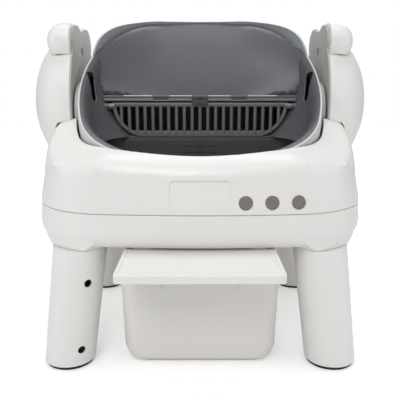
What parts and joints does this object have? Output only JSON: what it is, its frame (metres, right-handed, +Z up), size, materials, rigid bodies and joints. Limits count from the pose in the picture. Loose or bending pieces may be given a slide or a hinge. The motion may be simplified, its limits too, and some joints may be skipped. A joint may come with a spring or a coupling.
{
  "type": "self-cleaning litter box",
  "caption": "Litter box on splayed legs with a motor-turned ball drum that sieves clumps through a grille into a bin, with a front step and buttons.",
  "frame": {"origin": "centre of the bounding box on the floor, under the feet", "axes": "+X to the right seen from the front, +Y from the front step to the back, +Z up from the floor"},
  "size_m": [0.652, 0.6, 0.5819],
  "materials": {
    "housing_white": "moulded white, smooth",
    "leg_white": "moulded white, smooth",
    "step_white": "moulded white with a fine grain tread",
    "bin_white": "moulded white, satin",
    "ear_white": "moulded white, smooth",
    "arm_taupe": "taupe grey, satin",
    "button_taupe": "taupe grey, satin",
    "hub_grey": "light grey, satin",
    "foot_rubber": "black, matte",
    "bowl_charcoal": "charcoal, satin",
    "liner_black": "near black, satin",
    "latch_grey": "dark grey, satin",
    "sensor_black": "black, smooth",
    "gear_white": "natural white, satin",
    "steel": "plain steel",
    "board_green": "coated circuit board",
    "post_brass": "turned"
  },
  "bodies": {
    "base": {"arm_cover_left": "housing_white", "arm_cover_right": "housing_white", "board_posts": "post_brass", "button_board": "board_green", "chute_collar": "housing_white", "ear_caps_left": "ear_white", "ear_caps_right": "ear_white", "foot_pad_front_left": "foot_rubber", "foot_pad_front_right": "foot_rubber", "foot_pad_rear_left": "foot_rubber", "foot_pad_rear_right": "foot_rubber", "gearmotor": "steel", "leg_bolts": "steel", "leg_front_left": "leg_white", "leg_front_right": "leg_white", "leg_rear_left": "leg_white", "leg_rear_right": "leg_white", "lower_housing": "housing_white", "main_board": "board_green", "motor_bracket": "steel", "pivot_bush_left": "gear_white", "pivot_bush_right": "gear_white", "pivot_plate_left": "arm_taupe", "pivot_plate_right": "arm_taupe", "power_socket": "sensor_black", "sensor_window_left": "sensor_black", "sensor_window_right": "sensor_black", "step_brackets": "step_white", "step_plate": "step_white", "upper_housing": "housing_white"},
    "drum": {"drum_shell": "housing_white", "hood_cover": "housing_white", "hood_panel": "bowl_charcoal", "inner_bowl": "bowl_charcoal", "basin_liner": "liner_black", "hinge_bar": "bowl_charcoal", "drum_hub_left": "hub_grey", "drum_hub_right": "hub_grey", "shaft_clips": "steel", "drum_gear": "gear_white"},
    "sieve": {"sieve_grille": "bowl_charcoal"},
    "latch": {"sieve_latch": "latch_grey"},
    "pinion": {"motor_pinion": "gear_white"},
    "left_button": {"button_left": "button_taupe"},
    "middle_button": {"button_middle": "button_taupe"},
    "right_button": {"button_right": "button_taupe"},
    "bin": {"waste_bin": "bin_white"}
  },
  "joints": [
    {"name": "drum_turn", "type": "hinge", "parent": "base", "child": "drum", "pos_m": [0, 0.057, 0.402], "axis": [1, 0, 0], "range_deg": [-180, 20]},
    {"name": "pinion_spin", "type": "hinge", "parent": "base", "child": "pinion", "pos_m": [0.245, 0.11439, 0.43252], "axis": [1, 0, 0], "range_deg": [-67, 601]},
    {"name": "sieve_swing", "type": "hinge", "parent": "drum", "child": "sieve", "pos_m": [0, 0.0805, 0.411], "axis": [1, 0, 0], "range_deg": [-80, 0]},
    {"name": "latch_turn", "type": "hinge", "parent": "drum", "child": "latch", "pos_m": [0, 0.0815, 0.4275], "axis": [1, 0, 0], "range_deg": [-60, 0]},
    {"name": "bin_slide", "type": "slide", "parent": "base", "child": "bin", "axis": [0, -1, 0], "range_m": [0, 0.34]},
    {"name": "left_button_press", "type": "slide", "parent": "base", "child": "left_button", "axis": [-0.0498, 0.9988, 0], "range_m": [0, 0.002], "stiffness_N_per_m": 400},
    {"name": "middle_button_press", "type": "slide", "parent": "base", "child": "middle_button", "axis": [-0.0788, 0.9969, 0], "range_m": [0, 0.002], "stiffness_N_per_m": 400},
    {"name": "right_button_press", "type": "slide", "parent": "base", "child": "right_button", "axis": [-0.1082, 0.9941, 0], "range_m": [0, 0.002], "stiffness_N_per_m": 400}
  ],
  "couplings": [
    {"joint": "pinion_spin", "follows": "drum_turn", "ratio": -3.3333}
  ]
}
